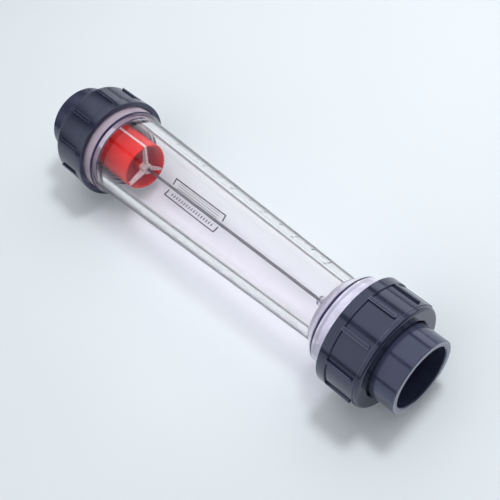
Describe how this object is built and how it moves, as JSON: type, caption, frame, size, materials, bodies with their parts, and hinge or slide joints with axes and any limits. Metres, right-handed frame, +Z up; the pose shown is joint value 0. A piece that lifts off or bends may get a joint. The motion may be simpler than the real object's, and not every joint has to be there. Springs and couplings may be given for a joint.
{
  "type": "rotameter",
  "caption": "Variable-area flow meter: clear conical tube with ribbed union nuts, solvent-cement sockets and a red float that slides and spins on a steel guide rod.",
  "frame": {"origin": "under the middle of the meter's length, on the surface the union nuts rest on", "axes": "+X along the tube to the narrow inlet end, +Z up, the tube's axis 55 mm above the origin"},
  "size_m": [0.478, 0.1108, 0.11],
  "materials": {
    "clear_tube": "polished, clear with a faint violet tint",
    "dark_pvc": "moulded, half gloss",
    "seal_rubber": "moulded",
    "rod_steel": "drawn",
    "float_red": "moulded, glossy",
    "guide_pale": "moulded",
    "support_clear": "moulded, clear",
    "bush_plastic": "moulded"
  },
  "bodies": {
    "meter": {"metering_tube": "clear_tube", "guide_rod": "rod_steel", "inlet_tailpiece": "dark_pvc", "inlet_o_ring": "seal_rubber", "inlet_rod_support": "support_clear", "inlet_rod_washer": "rod_steel", "inlet_rod_nut": "rod_steel", "inlet_float_stop": "seal_rubber", "outlet_tailpiece": "dark_pvc", "outlet_o_ring": "seal_rubber", "outlet_rod_support": "support_clear", "outlet_rod_washer": "rod_steel", "outlet_rod_nut": "rod_steel", "outlet_float_stop": "seal_rubber"},
    "inlet_nut": {"inlet_union_nut": "dark_pvc"},
    "outlet_nut": {"outlet_union_nut": "dark_pvc"},
    "float_bushes": {"float_bush_rear": "bush_plastic", "float_bush_front": "bush_plastic"},
    "float": {"float_shell": "float_red", "float_guide": "guide_pale", "float_end_cap": "float_red", "float_ballast": "rod_steel"}
  },
  "joints": [
    {"name": "float_slide", "type": "slide", "parent": "meter", "child": "float_bushes", "axis": [1, 0, 0], "range_m": [0, 0.2418]},
    {"name": "float_spin", "type": "hinge", "parent": "float_bushes", "child": "float", "pos_m": [-0.15, 0, 0.055], "axis": [1, 0, 0], "continuous": true},
    {"name": "inlet_nut_turn", "type": "hinge", "parent": "meter", "child": "inlet_nut", "pos_m": [0.19, 0, 0.055], "axis": [1, 0, 0], "range_deg": [0, 990]},
    {"name": "outlet_nut_turn", "type": "hinge", "parent": "meter", "child": "outlet_nut", "pos_m": [-0.19, 0, 0.055], "axis": [-1, 0, 0], "range_deg": [0, 990]}
  ]
}
